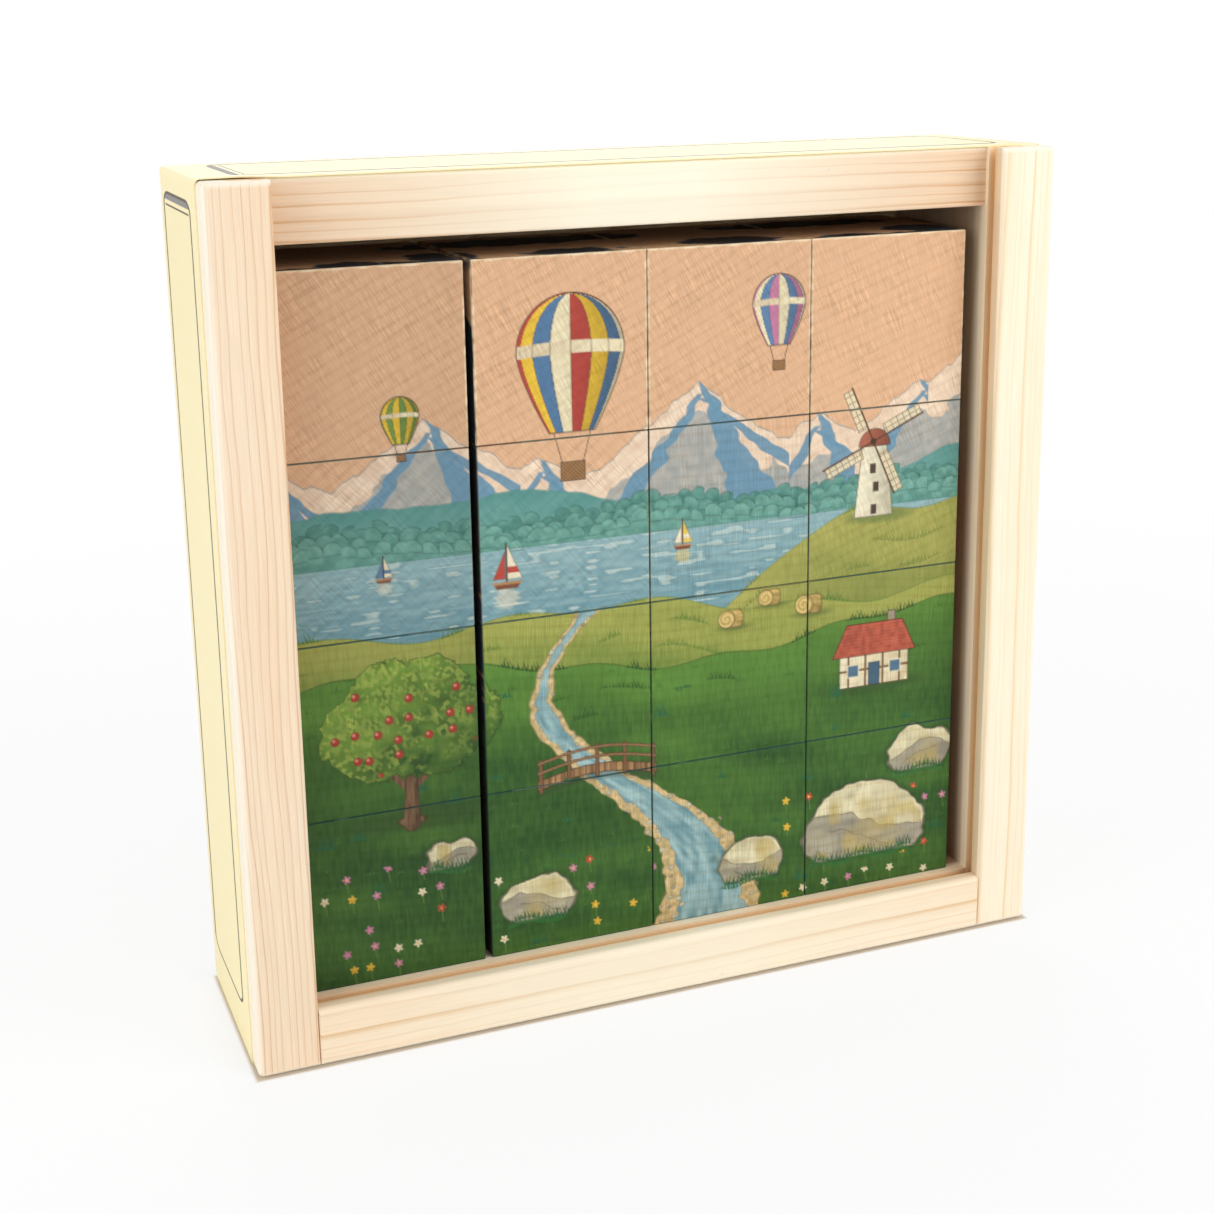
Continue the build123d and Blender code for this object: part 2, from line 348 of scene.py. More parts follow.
def mottle(x, y, size, seed=0):
    """Smooth noise from 0 to 1 with blotches of about size, in mm, across."""
    x, y = x / size, y / size
    ix, iy = np.floor(x), np.floor(y)
    fx, fy = x - ix, y - iy
    fx, fy = fx * fx * (3 - 2 * fx), fy * fy * (3 - 2 * fy)
    low, high = (chance(ix, iy + up, seed) * (1 - fx) + chance(ix + 1, iy + up, seed) * fx
                 for up in (0, 1))
    return low * (1 - fy) + high * fy


def scatter(x, y, cell, seed):
    """Offsets from one jittered spot per cell, and a random number for that spot."""
    ix, iy = np.floor(x / cell), np.floor(y / cell)
    dx = x - (ix + 0.22 + 0.56 * chance(ix, iy, seed)) * cell
    dy = y - (iy + 0.22 + 0.56 * chance(ix, iy, seed + 1)) * cell
    return dx, dy, chance(ix, iy, seed + 2)


def meet(*shapes):
    """Distance outside what all the shapes share."""
    return reduce(np.maximum, shapes)


def join(*shapes):
    """Distance outside all the shapes together."""
    return reduce(np.minimum, shapes)


def disc(x, y, cx, cy, rx, ry=None):
    """Distance outside an oval."""
    ry = ry or rx
    return (np.hypot((x - cx) / rx, (y - cy) / ry) - 1) * min(rx, ry)


def oblong(x, y, cx, cy, rx, ry):
    """Distance outside an upright oblong, from its middle and half sizes."""
    return meet(abs(x - cx) - rx, abs(y - cy) - ry)


def stroke(x, y, start, end, width, end_width=None):
    """Distance outside a straight brush stroke that may taper."""
    end_width = width if end_width is None else end_width
    dx, dy = end[0] - start[0], end[1] - start[1]
    x, y = x - start[0], y - start[1]
    share = np.clip((x * dx + y * dy) / (dx * dx + dy * dy), 0, 1)
    return np.hypot(x - share * dx, y - share * dy) - (width + share * (end_width - width)) / 2


def outline(x, y, corners):
    """Distance outside a closed polygon with those corners."""
    inside = np.zeros(x.shape, bool)
    near = np.inf
    for (ax, ay), (bx, by) in zip(corners, corners[1:] + corners[:1]):
        near = np.minimum(near, stroke(x, y, (ax, ay), (bx, by), 0))
        if ay != by:
            cross = (y >= min(ay, by)) & (y < max(ay, by))
            inside ^= cross & (x < ax + (y - ay) * (bx - ax) / (by - ay))
    return np.where(inside, -near, near)


def blend(a, b, share):
    """Blends two hex colours by one share per point."""
    share = np.clip(share, 0, 1)[..., None]
    return np.array(linear(a)[:3]) * (1 - share) + np.array(linear(b)[:3]) * share


class Print:
    """Ink at points x, y, in mm from the picture's lower left corner.

    A thing on it is drawn at points u, v, from its own place and in its own size.
    """

    def __init__(self, x, y, cx=0, cy=0, size=1):
        self.x, self.y, self.size = x, y, size
        self.u, self.v = (x - cx) / size, (y - cy) / size
        self.colour = np.zeros(x.shape + (3,))

    def lay(self, distance, colour, soft=0.3, strength=1):
        """Lays a hex colour or one per point where the distance is below 0, fading over soft mm."""
        colour = np.array(linear(colour)[:3]) if isinstance(colour, str) else colour
        share = (np.clip(0.5 - distance * self.size / soft, 0, 1) * strength)[..., None]
        self.colour = self.colour * (1 - share) + colour * share

    def line(self, distance, colour, width=0.25, strength=0.8):
        """Draws the edge of a shape as a thin line, its width in mm."""
        self.lay(abs(distance) - width / 2 / self.size, colour, 0.25, strength)

    def fill(self, distance, colour, edge, soft=0.3, width=0.25, strength=0.8):
        """Lays a shape's colour and draws its edge."""
        self.lay(distance, colour, soft)
        self.line(distance, edge, width, strength)

    def put(self, reach, paint, cx, cy, size, *looks):
        """Paints a thing at its place, on the points within reach mm, so that it costs little."""
        near = np.hypot(self.x - cx, self.y - cy) < reach
        part = Print(self.x[near], self.y[near], cx, cy, size)
        part.colour = self.colour[near]
        paint(part, *looks)
        self.colour[near] = part.colour


def paint_sky(p, low, high, seed):
    """A flat sky with the faintest change of tone."""
    p.lay(-1, blend(low, high, 0.55 * p.y / 160 + 0.45 * mottle(p.x * 0.6, p.y, 14, seed)))


def paint_ridge(p, crest, near, far, foot, seed):
    """A far, mist-footed hill below a crest line."""
    x, y = p.x, p.y
    depth = crest - y
    shade = mottle(x * 0.5 + y * 0.6, y - x * 0.3, 3.2, seed)
    p.lay(-depth, blend(near, far, 0.6 * np.clip(depth / foot, 0, 1) + 0.5 * shade), 0.4)
    gullies = abs(mottle(x + 0.7 * y, y * 0.25, 2.4, seed + 3) - 0.5)
    p.lay(meet(0.6 - depth, gullies * 6 - 0.3), near, 0.5, 0.35)
    p.line(depth, near, 0.3, 0.6)


def paint_peaks(p, peaks, snow, shade, rock, seed):
    """Far snowy peaks: lit slopes, bands of blue shade below each summit, grey rock at the foot."""
    x, y = p.x, p.y
    crest, across, drop = -np.inf, 0, 0
    for index, (px, py, slope) in enumerate(peaks):
        wear = 1.6 * mottle(x, 0, 3.1, seed + index) + 0.8 * mottle(x, 0, 1.3, seed + 20 + index)
        height = py - wear - slope * abs(x - px) + 0.004 * (x - px) ** 2
        upper = height > crest
        crest, across, drop = (np.where(upper, new, old) for new, old in
                               ((height, crest), (x - px, across), (py - y, drop)))
    away = y - crest
    wobble = 2.4 * mottle(x * 0.4, y, 2.4, seed + 2) - 1.2
    p.lay(away, blend(*snow, 0.1 + 0.8 * mottle(x, y, 2.2, seed + 4)), 0.35)
    foot = 2.9 + 9 * mottle(x, 0, 7, seed + 5) + 3 * mottle(x, y, 2.1, seed + 6)
    p.lay(foot + away, blend(*rock, mottle(x, y, 1.6, seed + 7)), 0.4)
    for lean, reach, below in ((0.28, 0.42, 0), (-0.9, 0.22, 4), (1.25, 0.2, 5)):
        spur = across - lean * (drop - below) - wobble
        p.lay(meet(-spur, spur - reach * drop - 0.4, below - drop, away), shade, 0.35, 0.95)
    p.line(away, "#7B8E96", 0.3, 0.7)


def paint_wood_edge(p, crest, foot, tones, seed):
    """Rows of round-headed trees along a far shore."""
    x, y = p.x, p.y
    for row, (lift, light) in enumerate(((0.4, 0.09), (-1.4, 0.3), (-3.4, 0.48))):
        dx, _, pick = scatter(x + row * 1.7, 0, 3.6, seed + row * 5)
        centre = crest + lift + 1.6 * pick
        crown = np.hypot(dx, (y - centre) * 0.85) - 2.1 - 0.5 * pick
        body = join(crown, y - centre) + 0.5 * mottle(x, y, 0.9, seed + 7) - 0.25
        tone = light + 0.5 * mottle(x, y, 1.3, seed + row) + 0.06 * (y - centre)
        p.lay(meet(body, foot - y), blend(*tones[:2], tone), 0.35)
        p.line(meet(crown, centre - y), tones[2], 0.25, 0.5)


def paint_lake(p, top, bottom, far, near, glint_colour):
    """Still water with pale streaks."""
    x, y = p.x, p.y
    glint = mottle(x * 0.25, y * 1.6, 1.1, 21)
    depth = (top - y) / (top - bottom)
    water = meet(y - top, bottom - y)
    p.lay(water, blend(far, near, depth * 0.8 + 0.7 * glint - 0.35), 0.35)
    p.lay(meet(water + 0.4, 0.78 - glint), glint_colour, 0.1, 0.6)


def paint_boat(p, sail, stripe):
    """A small sailing boat and its reflection."""
    u, v = p.u, p.v
    hull = outline(u, v, [(-3.2, 1), (3.4, 1), (2.3, -0.5), (-2.2, -0.5)])
    main = outline(u, v, [(0.2, 1.5), (0.2, 9), (3.4, 1.7)])
    jib = outline(u, v, [(-0.3, 1.7), (-0.3, 7.6), (-3, 1.7)])
    mirror = disc(u + 0.5 * np.sin(p.y * 5), v, 0, -2.6, 2.6, 2.2)
    p.lay(mirror, sail, 0.8, 0.45)
    p.lay(main, sail, 0.25)
    p.lay(meet(main, abs(v - 3.6) - 0.7), stripe, 0.25)
    p.lay(jib, stripe, 0.25)
    for cloth in (main, jib):
        p.line(cloth, "#4B4540", 0.2, 0.6)
    p.lay(stroke(u, v, (0, 1), (0, 9.4), 0.35), "#4A3728", 0.2)
    p.lay(hull, "#7A4A33", 0.25)
    p.lay(meet(hull, 0.5 - v), "#B8895C", 0.25)


def paint_blades(p, up, height, bare, colour, seed, strength=0.9):
    """Thin grass blades that lean both ways, from where up is 0, and where bare is below 0."""
    for lean, pitch in ((0.3, 0.8), (-0.25, 1.1)):
        along = (p.x + lean * up) / pitch
        tooth = np.floor(along)
        tall = height * (0.25 + 0.75 * chance(tooth, seed, 3)) * np.clip(-bare / 1.5, 0.05, 1)
        blade = abs(along - tooth - 0.5) * pitch - 0.28 * (1 - up / tall)
        p.lay(meet(blade, bare, -up, up - tall), colour, 0.25, strength)


def paint_field(p, crest, light, dark, seed):
    """Grass below a crest line, with broken rows of short blades along its folds."""
    x, y = p.x, p.y
    brush = mottle(x / 0.5, y * 0.4, 1, seed)
    sweep = mottle(x * 0.35 + y * 0.5, y, 6.5, seed + 1)
    fall = np.clip((crest - y) / 24, 0, 1)
    tone = 0.75 * fall + 0.45 * sweep + 0.26 * brush - 0.3325
    p.fill(y - crest, blend(light, dark, tone), dark, 0.35, 0.3, 0.55)
    for fold in (0, 6.5, 13):
        line = crest - fold - (1.8 * np.sin(x * 0.09 + fold + seed) if fold else 0.3)
        bare = 9 * (0.6 - mottle(x, fold, 7, seed + 2))
        paint_blades(p, y - line, 2.6, bare, dark, seed, 0.75 if fold else 0.9)


def paint_tufts(p, region, cell, light, dark, seed, share=0.6):
    """Small clumps of thin blades, one in some of the cells."""
    dx, dy, pick = scatter(p.x, p.y, cell, seed)
    other = np.mod(pick * 7.31, 1)
    bare = meet(abs(dx) - cell * (0.14 + 0.12 * pick), region, (other - share) * 99)
    paint_blades(p, dy + 0.1 * cell, cell * 0.5, bare, blend(light, dark, 0.35 + 0.5 * other), seed)


def paint_flowers(p, region, cell, size, colours, seed):
    """Round-petalled flowers, one per cell, in a few colours."""
    x, y = p.x, p.y
    dx, dy, pick = scatter(x, y, cell, seed)
    petals = np.hypot(dx, dy) - size * (0.78 + 0.22 * np.cos(5 * np.arctan2(dy, dx) + 6 * pick))
    shown = meet(region, 99 * (0.55 - chance(np.floor(x / cell), np.floor(y / cell), seed + 9)))
    p.lay(meet(abs(dx + 0.1 * dy) - 0.12, dy, -dy - 3.2 * size, shown), "#5E7F3A", 0.25, 0.9)
    for index, colour in enumerate(colours):
        kind = 99 * (abs(pick * len(colours) - index - 0.5) - 0.5)
        bloom = meet(petals, shown, kind)
        p.lay(bloom, colour, 0.25)
        p.lay(meet(bloom, petals + size * 0.62), "#E3C04A", 0.25)


def brook_line(y):
    """Where the middle of the brook runs at each height, and its half width."""
    share = np.clip(1 - y / 84, 0, 1)
    return 66 + 13 * np.sin(y * 0.075 + 0.2) + 26 * share ** 3, 0.5 + 8.5 * share ** 1.6


def paint_brook(p, shore):
    """The brook from the lake's shore to the lower edge, with sandy banks and pebbles."""
    x, y = p.x, p.y
    middle, half = brook_line(y)
    half = half + 1.6 * np.exp(-np.clip(shore - y, 0, 99) / 1.5)
    wander = 0.9 * mottle(x, y, 4, 31) + 0.7 * mottle(x, y, 1.5, 32) - 0.8
    away = abs(x - middle) + wander * (1 + half * 0.15) - half
    mouth = y - shore
    bank = 0.6 + half * 0.42
    sand = blend("#8E7F4F", "#DCC08C", 0.35 + 0.7 * mottle(x, y, 0.9, 33))
    p.lay(meet(away - bank, mouth), sand, 0.5)
    p.line(meet(away - bank, mouth - 0.5), "#5F5A34", 0.3, 0.5)
    flow = mottle((x - middle) * 0.9, y * 0.35, 1.2, 34)
    p.lay(meet(away, mouth - 0.6), blend("#4C7F8C", "#A9C6C4", 0.15 + 0.75 * flow), 0.5)
    p.line(meet(away, mouth), "#3B5E62", 0.25, 0.35)
    dx, dy, pick = scatter(x, y, 2.6, 35)
    pebble = np.hypot(dx, dy * 1.4) - 0.35 - 0.5 * pick
    pebble = meet(pebble, abs(away - bank * 0.45) - bank * 0.6, 0.35 - pick, mouth + 1)
    p.fill(pebble, blend("#8F8A72", "#C9C1A2", pick + 0.3 * dy), "#5C5747", 0.25, 0.2, 0.6)


def paint_boulder(p, rx, ry, seed):
    """A stone with a sunlit top, a grey side, cracks, lichen and grass at its foot."""
    x, y, u, v = p.x, p.y, p.u, p.v
    rough = 2.2 * mottle(x, y, rx * 0.55, seed) + 0.8 * mottle(x, y, 1.8, seed + 6) - 1.5
    stone = meet(disc(u, v, 0, 0, rx, ry) + rough, -ry * 0.72 - v)
    p.lay(stone - 0.6, "#24441D", 1, 0.7)
    p.lay(stone, blend("#B9AE8A", "#E3DAB4", 0.15 + 0.9 * mottle(x, y, 2.4, seed + 1)), 0.35)
    brow = ry * (0.12 + 0.3 * np.sin(u / rx * 2.3 + seed)) + 1.6 * mottle(x, y, 2.6, seed + 2) - 0.8
    grit = mottle(x * 0.6, y * 1.3, 1.9, seed + 4)
    p.lay(meet(stone, v - brow), blend("#8B8676", "#B3AB93", 0.05 + 0.9 * grit), 0.6)
    for drop, reach in ((0, 0.9), (0.42, 0.55)):
        crack = abs(v - brow + drop * ry) - 0.14
        p.lay(meet(stone + 0.3, crack, abs(u) - reach * rx), "#5F5A4C", 0.25, 0.75)
    p.lay(meet(stone + 0.8, 0.66 - mottle(x * 0.8, y, 3.1, seed + 3)), "#BFA755", 0.45, 0.6)
    p.line(stone, "#4D4A3B", 0.3)
    foot = 0.6 * np.sin(x * 0.5 + seed) - ry * 0.72
    for drop, colour in ((0, "#17522F"), (1.1, "#2A6A30")):
        paint_blades(p, v - foot + drop, 3.2, abs(u + drop) - rx * 0.85, colour, seed + drop)


def paint_apple_tree(p):
    """A broad crown on a forked trunk, with fruit, drawn in mm."""
    x, y, u, v = p.x, p.y, p.u, p.v
    bark = blend("#4B3526", "#86674A", mottle(x * 2.2, y * 0.4, 1, 41))
    p.lay(disc(u, v, 1, 0.2, 15.75, 2.73), "#2C4A1E", 1.5, 0.6)
    for tip in ((-8.82, 15.75), (0.42, 19.95), (9.45, 14.7)):
        p.lay(stroke(u, v, (0, 7.35), tip, 1.9, 0.8), bark)
    trunk = join(stroke(u, v, (0, -0.5), (0.3, 10.5), 4, 2.4), disc(u, v, 0, 0, 3.2, 1.2))
    p.fill(trunk, bark, "#33241A", strength=0.7)
    crown = join(*(disc(u, v, *lobe) for lobe in (
        (-10.92, 21.42, 8.82), (-4.2, 28.14, 9.66), (5.04, 28.56, 9.24), (11.55, 21.84, 8.4),
        (1.05, 20.58, 10.5), (-6.72, 17.64, 7.56), (7.56, 17.22, 7.14))))
    crown = crown + 1.5 * mottle(x, y, 1.5, 42) + 0.7 * mottle(x, y, 0.7, 43) - 1.1
    high = (0.45 * v - 0.3 * u) / 21 - 0.35
    p.lay(crown, blend("#264A1C", "#74983A", high + 0.7 * mottle(x, y, 3.2, 45)))
    leaf = 0.8 - 1.6 * mottle(x * 1.2 + 0.5 * y, y - 0.4 * x, 0.85, 44)
    green = blend("#3A6626", "#A9B954", high + 0.7 * mottle(x, y, 1.9, 46))
    p.lay(meet(crown, leaf), green, 0.3, 0.8)
    p.line(crown, "#1E3817", 0.3, 0.7)
    dx, dy, pick = scatter(x, y, 4.6, 47)
    apple = meet(np.hypot(dx, dy) - 0.95, crown + 1.6, 99 * (0.5 - pick))
    p.lay(apple, "#A83A2C", 0.25)
    p.lay(meet(disc(dx, dy, -0.3, 0.3, 0.35), apple), "#E0917A", 0.25, 0.9)
    p.line(apple, "#5B1E1A", 0.2, 0.6)


def paint_spruce_tree(p, dark, light):
    """A dark pointed tree with drooping tiers."""
    x, y, u, v = p.x, p.y, p.u, p.v
    p.lay(stroke(u, v, (0, 0), (0, 0.3), 0.07), "#4B3526", 0.25)
    for tier in range(5):
        base, reach = 0.12 + 0.17 * tier, 0.27 - 0.045 * tier
        cone = outline(u, v, [(-reach, base), (0, base + 0.1), (reach, base), (0, base + 0.32)])
        needle = (0.6 * mottle(x * 1.6, y, 0.7, 57 + tier) - 0.3) / p.size
        p.lay(cone + needle, blend(dark, light, mottle(x, y, 0.8, 58) - 0.4 * u / reach))


def paint_balloon(p, *colours):
    """A striped hot-air balloon with its basket."""
    u, v = p.u, p.v
    width = 1 - 0.62 * np.clip(-v / 1.5, 0, 1) ** 1.4
    skin = np.where(v > 0, disc(u, v, 0, 0, 1, 1.02), meet(abs(u) - width, -1.42 - v))
    half = np.where(v > 0, np.sqrt(np.clip(1 - v * v, 0, 1)), width)
    across = np.clip(u / np.maximum(half, 0.3 / p.size), -1, 1)
    gore = (np.arcsin(across) / math.pi + 0.5) * 8
    shade = 0.95 - 0.42 * np.clip(across * 0.7 + 0.35, 0, 1) ** 1.5 + 0.1 * mottle(p.x, p.y, 0.8, 5)
    cloth = np.array([linear(c)[:3] for c in colours])[np.floor(gore).astype(int) % len(colours)]
    p.lay(skin, cloth * shade[..., None])
    belt = abs(v - 0.08 + 0.05 * across ** 2) - 0.11
    p.lay(meet(skin, belt), blend("#8E4A3A", "#E6D9B4", 1.8 - shade))
    p.lay(meet(skin, (abs(gore - np.round(gore)) - 0.05) * 0.35), "#5A4038", 0.2, 0.4)
    p.line(skin, "#43322C", 0.3)
    for side in (-1, 1):
        rope = stroke(u, v, (side * 0.34, -1.42), (side * 0.2, -1.95), 0.22 / p.size)
        p.lay(rope, "#43322C", 0.2, 0.9)
    basket = oblong(u, v, 0, -2.12, 0.23, 0.17)
    cane = np.sin(p.x * 7) * np.sin(p.y * 7)
    p.fill(basket, blend("#6B4A30", "#A97F52", 0.5 + 0.4 * cane), "#38271B", 0.25, 0.22)


def paint_windmill(p):
    """A white-walled tower mill with four lattice sails."""
    u, v, mm = p.u, p.v, 1 / p.size
    light = 0.6 - 1.5 * u + 0.3 * mottle(p.x, p.y, 1.2, 51)
    p.lay(disc(u, v, 1.5 * mm, 0, 0.5, 0.1), "#55703A", 1, 0.6)
    tower = outline(u, v, [(-0.3, 0), (0.3, 0), (0.19, 1), (-0.19, 1)])
    p.fill(tower, blend("#9C977F", "#E9E0C4", light), "#5B5546")
    for cx, cy in ((0, 0.1), (0.03, 0.42), (-0.02, 0.68)):
        p.lay(oblong(u, v, cx, cy, 0.045, 0.07), "#4A3B32", 0.25)
    p.fill(meet(disc(u, v, 0, 1, 0.24), 1 - v), blend("#6A3B2E", "#A9604A", 0.7 - 2 * u), "#3B221B")
    u, v = u + 0.02, v - 1.06
    for angle in (24, 114, 204, 294):
        ux, uy = math.cos(math.radians(angle)), math.sin(math.radians(angle))
        along, side = u * ux + v * uy, v * ux - u * uy - 0.075
        vane = oblong(along, side, 0.52, 0, 0.3, 0.075)
        p.lay(vane, "#E2D5B2", 0.25, 0.9)
        bars = join(abs(np.mod(along, 0.1) - 0.05), abs(side)) - 0.1 * mm
        p.lay(meet(vane, bars), "#7A5236", 0.2, 0.85)
        p.line(vane, "#5A3A28", 0.2)
        p.lay(stroke(u, v, (0, 0), (0.84 * ux, 0.84 * uy), 0.45 * mm), "#5A3A28", 0.2)
    p.lay(disc(u, v, 0, 0, 0.8 * mm), "#3F2A1F", 0.25)


def paint_cottage(p, snow=False):
    """A half-timbered cottage under a red or snow-covered roof."""
    x, y, u, v = p.x, p.y, p.u, p.v
    p.lay(disc(u, v, 0.1, 0, 0.85, 0.12), "#2F4A22", 1, 0.6)
    front = oblong(u, v, 0, 0.275, 0.62, 0.275)
    p.lay(front, blend("#C9B78C", "#EFE4C3", 0.35 + 0.5 * mottle(x, y, 1.5, 61) - 0.4 * u))
    beams = join(abs(np.mod(u + 0.62, 0.31) - 0.155), abs(v - 0.28)) - 0.02
    p.lay(meet(front, beams), "#6B4A34", 0.2, 0.9)
    p.line(front, "#4B3526")
    p.fill(oblong(u, v, 0.3, 1.05, 0.07, 0.16), "#9A8E76", "#4B3526", 0.25, 0.22)
    roof = outline(u, v, [(-0.75, 0.52), (0.75, 0.52), (0.5, 1.05), (-0.5, 1.05)])
    courses = abs(np.mod(y, 0.8) - 0.4)
    ends = ("#A9B9C6", "#EEF2F2") if snow else ("#7E2F25", "#C4624A")
    p.lay(roof, blend(*ends, 0.35 + 0.6 * mottle(x, y, 1, 62) + 0.3 * courses))
    p.lay(meet(roof, (courses - 0.07) / p.size), "#5E241D", 0.2, 0.12 if snow else 0.5)
    p.line(roof, "#431B16", 0.28)
    pane = "#E3B34A" if snow else "#4F7086"
    for cx in (-0.38, 0.38):
        p.fill(oblong(u, v, cx, 0.27, 0.1, 0.1), pane, "#EFE4C3", 0.2, 0.25, 0.9)
    p.fill(oblong(u, v, 0, 0.19, 0.1, 0.19), "#3E5F74", "#33241A", 0.2, 0.22)


def paint_bale(p):
    """A round bale of hay, end on."""
    u, v = p.u, p.v
    side = join(oblong(u, v, 0.75, 0, 0.75, 1), disc(u, v, 1.5, 0, 0.55, 1))
    p.lay(disc(u, v, 0.9, -1, 2, 0.4), "#3C5424", 0.8, 0.6)
    straw = mottle(p.x * 0.5, p.y * 2, 0.8, 71)
    p.fill(side, blend("#8C7540", "#CDB068", straw + 0.25 * v), "#5C4A26", strength=0.7)
    rings = 0.6 + 0.3 * np.sin(np.hypot(u, v) * 5.5 * p.size + np.arctan2(v, u))
    p.fill(disc(u, v, 0, 0, 1), blend("#9C8148", "#E3C87F", rings), "#5C4A26")


def paint_footbridge(p, half):
    """A plank bridge with a rail, arched over the water; half its span is in mm."""
    def arch(across):
        return 2.2 * np.cos(math.pi / 2 * np.clip(across / half, -1, 1))

    u, v = p.u, p.v
    above, inside = v - arch(u), abs(u) - half
    p.lay(meet(abs(above + 1.8) - 0.9, inside - 0.5), "#2B3B25", 0.8, 0.5)
    floor = meet(abs(above) - 1.1, inside)
    p.lay(floor, blend("#6B4C33", "#B28A5C", mottle(p.x * 1.4, p.y * 0.1, 1, 81)), 0.25)
    p.lay(meet(floor, abs(np.mod(p.x, 1.5) - 0.75) - 0.1), "#453021", 0.2, 0.8)
    p.line(floor, "#38271B", 0.25, 0.9)
    for post in np.linspace(0.8 - half, half - 0.8, 5):
        foot, head = (post, arch(post) - 1.6), (post, arch(post) + 5.6)
        p.fill(stroke(u, v, foot, head, 0.9), "#7A573B", "#38271B", 0.25, 0.2)
    for lift in (2.9, 5.2):
        p.fill(meet(abs(above - lift) - 0.33, inside), "#8E6A48", "#38271B", 0.2, 0.18)


def paint_cloud(p, rx, ry):
    """A dark, lumpy cloud with a pale rim."""
    lump = disc(p.u, p.v, 0, 0, rx, ry) + 2.4 * mottle(p.x, p.y, 3.5, 144) - 1.2
    p.lay(lump, blend("#0C0D12", "#2B3540", mottle(p.x * 0.5, p.y, 5, 145)), 0.6, 0.97)
    p.line(lump, "#6F8796", 0.4, 0.6)


# Things on the pictures: where they stand, in mm, their size or slope, and their looks.
PEAKS = ((-6, 122, 0.6), (30, 128, 0.75), (54, 117, 0.6), (92, 131, 0.8), (122, 121, 0.6),
         (149, 127, 0.7))
SUMMER_BOATS = ((46, 88, 1.05, "#E9DEC0", "#B5463A"), (88, 92, 0.72, "#E7C65A", "#E9DEC0"),
                (20, 92.5, 0.6, "#E9DEC0", "#5B7FA3"))
HARBOUR_BOATS = ((36, 62, 5.2, "#F0E8CE", "#B5443A"), (108, 54, 6.4, "#E7C65A", "#3E6F94"),
                 (78, 80, 2.4, "#F0E8CE", "#4F7599"), (146, 80, 2.6, "#E9DEC0", "#C27A9B"))
BALLOONS = ((62, 139, 12.5, "#B5443A", "#E2B93B", "#4F7599", "#E6D9B4"),
            (112, 146, 6.6, "#C27A9B", "#E6D9B4", "#5B7FA3"), (25, 128, 4.2, "#6F8F42", "#E2B93B"))
BOULDERS = ((136, 16, 17, 11, 91), (151, 33, 9, 6.5, 95), (106, 12, 9, 6.5, 99),
            (52, 12, 9, 6, 103), (33, 27, 6, 4, 107))
CLOUDS = ((16, 124, 7, 4.5), (37, 128, 7, 8), (64, 125, 11, 4.5), (102, 127, 12, 6),
          (131, 123, 7, 3.5), (152, 129, 8, 7), (60, 148, 30, 7), (130, 150, 24, 6))


def paint_summer(p):
    """The front: a brook runs from a lake past a mill, a cottage and an apple tree."""
    x, y = p.x, p.y
    paint_sky(p, "#E0B48E", "#D9AD88", 1)
    mid = 105 + 4 * np.sin(x * 0.043 + 0.2) + 1.4 * np.sin(x * 0.12 + 1) + 0.8 * mottle(x, 0, 4, 2)
    paint_peaks(p, PEAKS, ("#DDBFA4", "#EFD9BF"), "#6690A8", ("#9C9F9B", "#B3AFA6"), 11)
    paint_ridge(p, mid, "#4F8C86", "#6FA199", 12, 12)
    paint_lake(p, 99, 74, "#8FB0B4", "#4F8290", "#C9D8D0")
    far_bank = 100.5 + 1.2 * np.sin(x * 0.09 + 0.5)
    paint_wood_edge(p, far_bank, 96.5, ("#2F6F66", "#74A99B", "#1F5049"), 13)
    for boat in SUMMER_BOATS:
        p.put(14, paint_boat, *boat)
    rise = 70 + 26 / (1 + np.exp(-(x - 108) / 7)) + 1.2 * np.sin(x * 0.2)
    paint_field(p, rise, "#A8A557", "#6E7E36", 14)
    p.put(32, paint_windmill, 137, 94, 17)
    shore = 82 + 2 * np.sin(x * 0.06 + 3.6) - 0.045 * x + 1.2 * np.sin(x * 0.17)
    paint_field(p, shore, "#9DA04F", "#55782C", 15)
    for bale in ((109, 77.5, 1.9), (119, 74.5, 2.3), (99, 73.5, 2.1)):
        p.put(9, paint_bale, *bale)
    near = 68 + 3.5 * np.sin(x * 0.045 + 0.6) + 0.9 * np.sin(x * 0.21)
    paint_field(p, near, "#5A8634", "#1D4A1A", 16)
    paint_brook(p, shore)
    middle, half = brook_line(y)
    dry = 2.2 + half * 1.5 - abs(x - middle)
    paint_tufts(p, meet(y - near, dry), 5.6, "#4C7C34", "#1F4C1A", 17, 0.5)
    p.put(22, paint_cottage, 138, 52, 15)
    p.put(22, paint_footbridge, 66.5, 40, 1, 14.5)
    stones = dry
    for cx, cy, rx, ry, seed in BOULDERS:
        stones = meet(stones, 0.5 - disc(x, y, cx, cy, rx, ry))
        p.put(2 * rx, paint_boulder, cx, cy, 1, rx, ry, seed)
    paint_tufts(p, meet(y - near + 5, stones), 9.5, "#1E6A42", "#0F4832", 18, 0.32)
    paint_tufts(p, meet(y - 24, stones), 6.5, "#2B6B32", "#113C20", 27, 0.5)
    p.put(44, paint_apple_tree, 24, 37, 1)
    low = 0.78 * (34 + 5 * np.sin(x * 0.035 + 2.4))
    petals = ("#B9443A", "#E4D9B8", "#C27A9B", "#D8B13A")
    paint_flowers(p, meet(y - low, stones), 5.6, 1.05, petals, 19)
    for balloon in BALLOONS:
        p.put(32, paint_balloon, *balloon)


